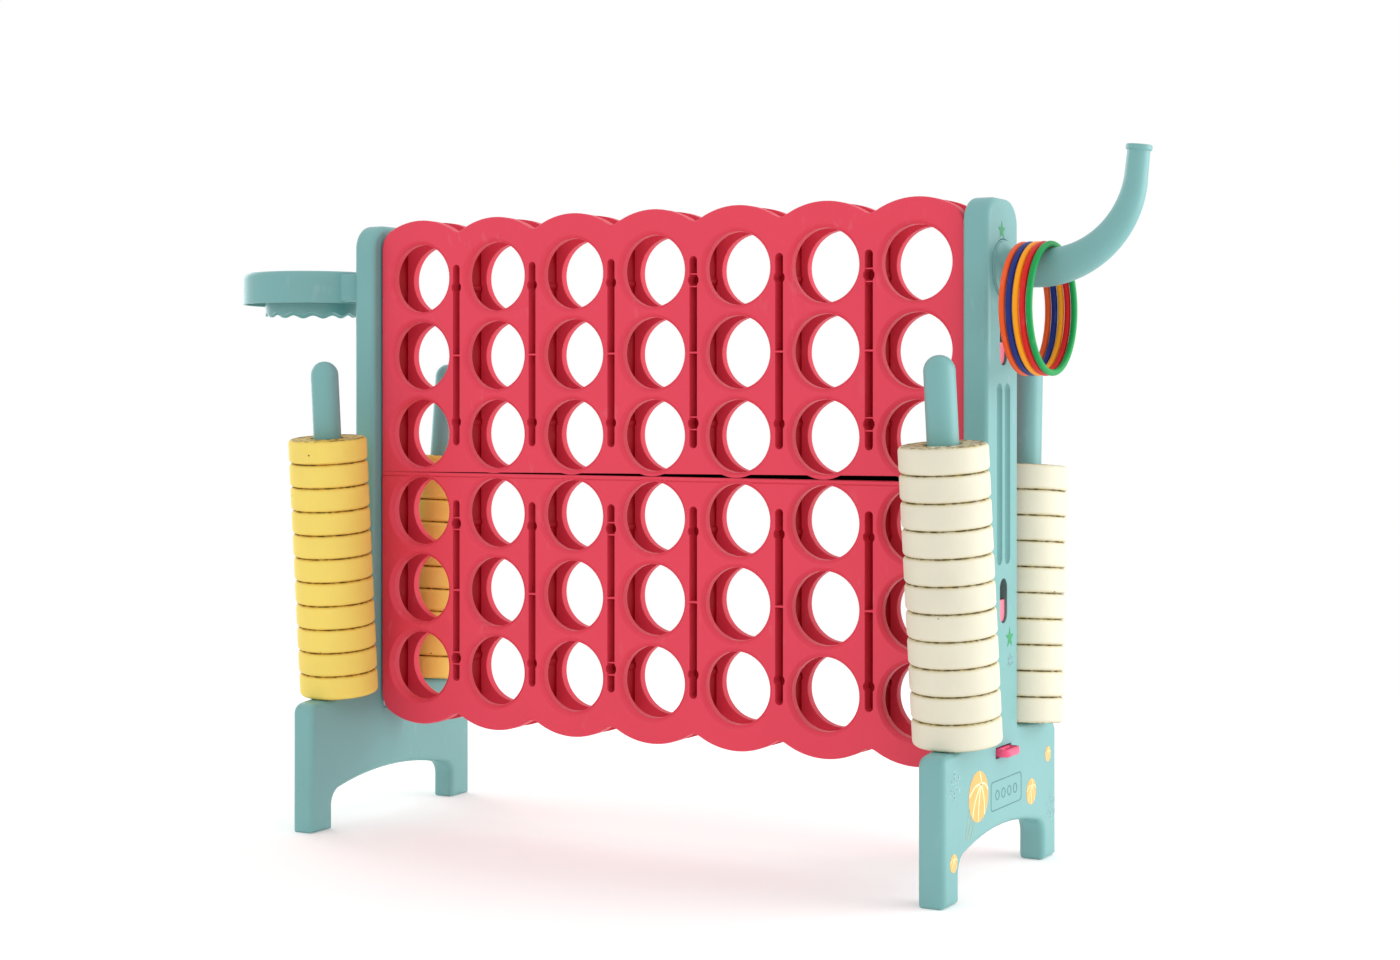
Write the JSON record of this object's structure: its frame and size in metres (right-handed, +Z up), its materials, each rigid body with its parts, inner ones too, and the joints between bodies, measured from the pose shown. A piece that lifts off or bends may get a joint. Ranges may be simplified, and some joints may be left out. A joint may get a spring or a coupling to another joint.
{
  "type": "ring toss set",
  "caption": "Floor-standing lawn game: scalloped drop-disc board between two side frames, with a ball hoop, a curved ring toss arm, hanging rings and discs stored on leaning poles.",
  "frame": {"origin": "on the floor, under the middle of the whole object's box, hoop and arm included", "axes": "+X along the board towards the ring toss arm, +Y to the rear, +Z up"},
  "size_m": [1.2564, 0.346, 0.824],
  "materials": {
    "frame_plastic": "satin",
    "board_plastic": "semi-gloss",
    "divider_plastic": "semi-gloss",
    "slider_plastic": "semi-gloss",
    "yellow_disc": "lightly textured",
    "cream_disc": "lightly textured",
    "ring_orange": "satin",
    "ring_blue": "satin",
    "ring_yellow": "satin",
    "ring_red": "satin",
    "ring_green": "satin"
  },
  "bodies": {
    "root": {"left_frame": "frame_plastic", "right_frame": "frame_plastic", "left_poles": "frame_plastic", "right_poles": "frame_plastic", "front_upper_shell": "board_plastic", "front_lower_shell": "board_plastic", "rear_upper_shell": "board_plastic", "rear_lower_shell": "board_plastic", "upper_dividers": "divider_plastic", "lower_dividers": "divider_plastic", "hoop": "frame_plastic", "ring_arm": "frame_plastic"},
    "release_slider": {"release_slider": "slider_plastic"},
    "ring_orange": {"ring_orange": "ring_orange"},
    "ring_blue": {"ring_blue": "ring_blue"},
    "ring_yellow": {"ring_yellow": "ring_yellow"},
    "ring_red": {"ring_red": "ring_red"},
    "ring_green": {"ring_green": "ring_green"},
    "yellow_front_01": {"yellow_front_01": "yellow_disc"},
    "yellow_front_02": {"yellow_front_02": "yellow_disc"},
    "yellow_front_03": {"yellow_front_03": "yellow_disc"},
    "yellow_front_04": {"yellow_front_04": "yellow_disc"},
    "yellow_front_05": {"yellow_front_05": "yellow_disc"},
    "yellow_front_06": {"yellow_front_06": "yellow_disc"},
    "yellow_front_07": {"yellow_front_07": "yellow_disc"},
    "yellow_front_08": {"yellow_front_08": "yellow_disc"},
    "yellow_front_09": {"yellow_front_09": "yellow_disc"},
    "yellow_front_10": {"yellow_front_10": "yellow_disc"},
    "yellow_front_11": {"yellow_front_11": "yellow_disc"},
    "yellow_rear_01": {"yellow_rear_01": "yellow_disc"},
    "yellow_rear_02": {"yellow_rear_02": "yellow_disc"},
    "yellow_rear_03": {"yellow_rear_03": "yellow_disc"},
    "yellow_rear_04": {"yellow_rear_04": "yellow_disc"},
    "yellow_rear_05": {"yellow_rear_05": "yellow_disc"},
    "yellow_rear_06": {"yellow_rear_06": "yellow_disc"},
    "yellow_rear_07": {"yellow_rear_07": "yellow_disc"},
    "yellow_rear_08": {"yellow_rear_08": "yellow_disc"},
    "yellow_rear_09": {"yellow_rear_09": "yellow_disc"},
    "yellow_rear_10": {"yellow_rear_10": "yellow_disc"},
    "cream_front_01": {"cream_front_01": "cream_disc"},
    "cream_front_02": {"cream_front_02": "cream_disc"},
    "cream_front_03": {"cream_front_03": "cream_disc"},
    "cream_front_04": {"cream_front_04": "cream_disc"},
    "cream_front_05": {"cream_front_05": "cream_disc"},
    "cream_front_06": {"cream_front_06": "cream_disc"},
    "cream_front_07": {"cream_front_07": "cream_disc"},
    "cream_front_08": {"cream_front_08": "cream_disc"},
    "cream_front_09": {"cream_front_09": "cream_disc"},
    "cream_front_10": {"cream_front_10": "cream_disc"},
    "cream_front_11": {"cream_front_11": "cream_disc"},
    "cream_rear_01": {"cream_rear_01": "cream_disc"},
    "cream_rear_02": {"cream_rear_02": "cream_disc"},
    "cream_rear_03": {"cream_rear_03": "cream_disc"},
    "cream_rear_04": {"cream_rear_04": "cream_disc"},
    "cream_rear_05": {"cream_rear_05": "cream_disc"},
    "cream_rear_06": {"cream_rear_06": "cream_disc"},
    "cream_rear_07": {"cream_rear_07": "cream_disc"},
    "cream_rear_08": {"cream_rear_08": "cream_disc"},
    "cream_rear_09": {"cream_rear_09": "cream_disc"},
    "cream_rear_10": {"cream_rear_10": "cream_disc"}
  },
  "joints": [
    {"name": "slider_pull", "type": "slide", "parent": "root", "child": "release_slider", "axis": [1, 0, 0], "range_m": [0, 0.058]},
    {"name": "orange_ring_swing", "type": "hinge", "parent": "root", "child": "ring_orange", "pos_m": [0.48176, 0, 0.691], "axis": [1, 0, 0], "range_deg": [-25, 25]},
    {"name": "blue_ring_swing", "type": "hinge", "parent": "root", "child": "ring_blue", "pos_m": [0.48966, 0, 0.691], "axis": [1, 0, 0], "range_deg": [-25, 25]},
    {"name": "yellow_ring_swing", "type": "hinge", "parent": "root", "child": "ring_yellow", "pos_m": [0.49756, 0, 0.691], "axis": [1, 0, 0], "range_deg": [-25, 25]},
    {"name": "red_ring_swing", "type": "hinge", "parent": "root", "child": "ring_red", "pos_m": [0.50546, 0, 0.691], "axis": [1, 0, 0], "range_deg": [-25, 25]},
    {"name": "green_ring_swing", "type": "hinge", "parent": "root", "child": "ring_green", "pos_m": [0.51336, 0, 0.691], "axis": [1, 0, 0], "range_deg": [-25, 25]},
    {"name": "yellow_front_01_lift", "type": "slide", "parent": "root", "child": "yellow_front_01", "axis": [0.0139, -0.0906, 0.9958], "range_m": [0, 0.009]},
    {"name": "yellow_front_02_lift", "type": "slide", "parent": "yellow_front_01", "child": "yellow_front_02", "axis": [0.0139, -0.0906, 0.9958], "range_m": [0, 0.009]},
    {"name": "yellow_front_03_lift", "type": "slide", "parent": "yellow_front_02", "child": "yellow_front_03", "axis": [0.0139, -0.0906, 0.9958], "range_m": [0, 0.009]},
    {"name": "yellow_front_04_lift", "type": "slide", "parent": "yellow_front_03", "child": "yellow_front_04", "axis": [0.0139, -0.0906, 0.9958], "range_m": [0, 0.009]},
    {"name": "yellow_front_05_lift", "type": "slide", "parent": "yellow_front_04", "child": "yellow_front_05", "axis": [0.0139, -0.0906, 0.9958], "range_m": [0, 0.009]},
    {"name": "yellow_front_06_lift", "type": "slide", "parent": "yellow_front_05", "child": "yellow_front_06", "axis": [0.0139, -0.0906, 0.9958], "range_m": [0, 0.009]},
    {"name": "yellow_front_07_lift", "type": "slide", "parent": "yellow_front_06", "child": "yellow_front_07", "axis": [0.0139, -0.0906, 0.9958], "range_m": [0, 0.009]},
    {"name": "yellow_front_08_lift", "type": "slide", "parent": "yellow_front_07", "child": "yellow_front_08", "axis": [0.0139, -0.0906, 0.9958], "range_m": [0, 0.009]},
    {"name": "yellow_front_09_lift", "type": "slide", "parent": "yellow_front_08", "child": "yellow_front_09", "axis": [0.0139, -0.0906, 0.9958], "range_m": [0, 0.009]},
    {"name": "yellow_front_10_lift", "type": "slide", "parent": "yellow_front_09", "child": "yellow_front_10", "axis": [0.0139, -0.0906, 0.9958], "range_m": [0, 0.009]},
    {"name": "yellow_front_11_lift", "type": "slide", "parent": "yellow_front_10", "child": "yellow_front_11", "axis": [0.0139, -0.0906, 0.9958], "range_m": [0, 0.128]},
    {"name": "yellow_rear_01_lift", "type": "slide", "parent": "root", "child": "yellow_rear_01", "axis": [0.0139, 0.0906, 0.9958], "range_m": [0, 0.013]},
    {"name": "yellow_rear_02_lift", "type": "slide", "parent": "yellow_rear_01", "child": "yellow_rear_02", "axis": [0.0139, 0.0906, 0.9958], "range_m": [0, 0.013]},
    {"name": "yellow_rear_03_lift", "type": "slide", "parent": "yellow_rear_02", "child": "yellow_rear_03", "axis": [0.0139, 0.0906, 0.9958], "range_m": [0, 0.013]},
    {"name": "yellow_rear_04_lift", "type": "slide", "parent": "yellow_rear_03", "child": "yellow_rear_04", "axis": [0.0139, 0.0906, 0.9958], "range_m": [0, 0.013]},
    {"name": "yellow_rear_05_lift", "type": "slide", "parent": "yellow_rear_04", "child": "yellow_rear_05", "axis": [0.0139, 0.0906, 0.9958], "range_m": [0, 0.013]},
    {"name": "yellow_rear_06_lift", "type": "slide", "parent": "yellow_rear_05", "child": "yellow_rear_06", "axis": [0.0139, 0.0906, 0.9958], "range_m": [0, 0.013]},
    {"name": "yellow_rear_07_lift", "type": "slide", "parent": "yellow_rear_06", "child": "yellow_rear_07", "axis": [0.0139, 0.0906, 0.9958], "range_m": [0, 0.013]},
    {"name": "yellow_rear_08_lift", "type": "slide", "parent": "yellow_rear_07", "child": "yellow_rear_08", "axis": [0.0139, 0.0906, 0.9958], "range_m": [0, 0.013]},
    {"name": "yellow_rear_09_lift", "type": "slide", "parent": "yellow_rear_08", "child": "yellow_rear_09", "axis": [0.0139, 0.0906, 0.9958], "range_m": [0, 0.013]},
    {"name": "yellow_rear_10_lift", "type": "slide", "parent": "yellow_rear_09", "child": "yellow_rear_10", "axis": [0.0139, 0.0906, 0.9958], "range_m": [0, 0.158]},
    {"name": "cream_front_01_lift", "type": "slide", "parent": "root", "child": "cream_front_01", "axis": [-0.0139, -0.0906, 0.9958], "range_m": [0, 0.009]},
    {"name": "cream_front_02_lift", "type": "slide", "parent": "cream_front_01", "child": "cream_front_02", "axis": [-0.0139, -0.0906, 0.9958], "range_m": [0, 0.009]},
    {"name": "cream_front_03_lift", "type": "slide", "parent": "cream_front_02", "child": "cream_front_03", "axis": [-0.0139, -0.0906, 0.9958], "range_m": [0, 0.009]},
    {"name": "cream_front_04_lift", "type": "slide", "parent": "cream_front_03", "child": "cream_front_04", "axis": [-0.0139, -0.0906, 0.9958], "range_m": [0, 0.009]},
    {"name": "cream_front_05_lift", "type": "slide", "parent": "cream_front_04", "child": "cream_front_05", "axis": [-0.0139, -0.0906, 0.9958], "range_m": [0, 0.009]},
    {"name": "cream_front_06_lift", "type": "slide", "parent": "cream_front_05", "child": "cream_front_06", "axis": [-0.0139, -0.0906, 0.9958], "range_m": [0, 0.009]},
    {"name": "cream_front_07_lift", "type": "slide", "parent": "cream_front_06", "child": "cream_front_07", "axis": [-0.0139, -0.0906, 0.9958], "range_m": [0, 0.009]},
    {"name": "cream_front_08_lift", "type": "slide", "parent": "cream_front_07", "child": "cream_front_08", "axis": [-0.0139, -0.0906, 0.9958], "range_m": [0, 0.009]},
    {"name": "cream_front_09_lift", "type": "slide", "parent": "cream_front_08", "child": "cream_front_09", "axis": [-0.0139, -0.0906, 0.9958], "range_m": [0, 0.009]},
    {"name": "cream_front_10_lift", "type": "slide", "parent": "cream_front_09", "child": "cream_front_10", "axis": [-0.0139, -0.0906, 0.9958], "range_m": [0, 0.009]},
    {"name": "cream_front_11_lift", "type": "slide", "parent": "cream_front_10", "child": "cream_front_11", "axis": [-0.0139, -0.0906, 0.9958], "range_m": [0, 0.128]},
    {"name": "cream_rear_01_lift", "type": "slide", "parent": "root", "child": "cream_rear_01", "axis": [-0.0139, 0.0906, 0.9958], "range_m": [0, 0.013]},
    {"name": "cream_rear_02_lift", "type": "slide", "parent": "cream_rear_01", "child": "cream_rear_02", "axis": [-0.0139, 0.0906, 0.9958], "range_m": [0, 0.013]},
    {"name": "cream_rear_03_lift", "type": "slide", "parent": "cream_rear_02", "child": "cream_rear_03", "axis": [-0.0139, 0.0906, 0.9958], "range_m": [0, 0.013]},
    {"name": "cream_rear_04_lift", "type": "slide", "parent": "cream_rear_03", "child": "cream_rear_04", "axis": [-0.0139, 0.0906, 0.9958], "range_m": [0, 0.013]},
    {"name": "cream_rear_05_lift", "type": "slide", "parent": "cream_rear_04", "child": "cream_rear_05", "axis": [-0.0139, 0.0906, 0.9958], "range_m": [0, 0.013]},
    {"name": "cream_rear_06_lift", "type": "slide", "parent": "cream_rear_05", "child": "cream_rear_06", "axis": [-0.0139, 0.0906, 0.9958], "range_m": [0, 0.013]},
    {"name": "cream_rear_07_lift", "type": "slide", "parent": "cream_rear_06", "child": "cream_rear_07", "axis": [-0.0139, 0.0906, 0.9958], "range_m": [0, 0.013]},
    {"name": "cream_rear_08_lift", "type": "slide", "parent": "cream_rear_07", "child": "cream_rear_08", "axis": [-0.0139, 0.0906, 0.9958], "range_m": [0, 0.013]},
    {"name": "cream_rear_09_lift", "type": "slide", "parent": "cream_rear_08", "child": "cream_rear_09", "axis": [-0.0139, 0.0906, 0.9958], "range_m": [0, 0.013]},
    {"name": "cream_rear_10_lift", "type": "slide", "parent": "cream_rear_09", "child": "cream_rear_10", "axis": [-0.0139, 0.0906, 0.9958], "range_m": [0, 0.158]}
  ]
}
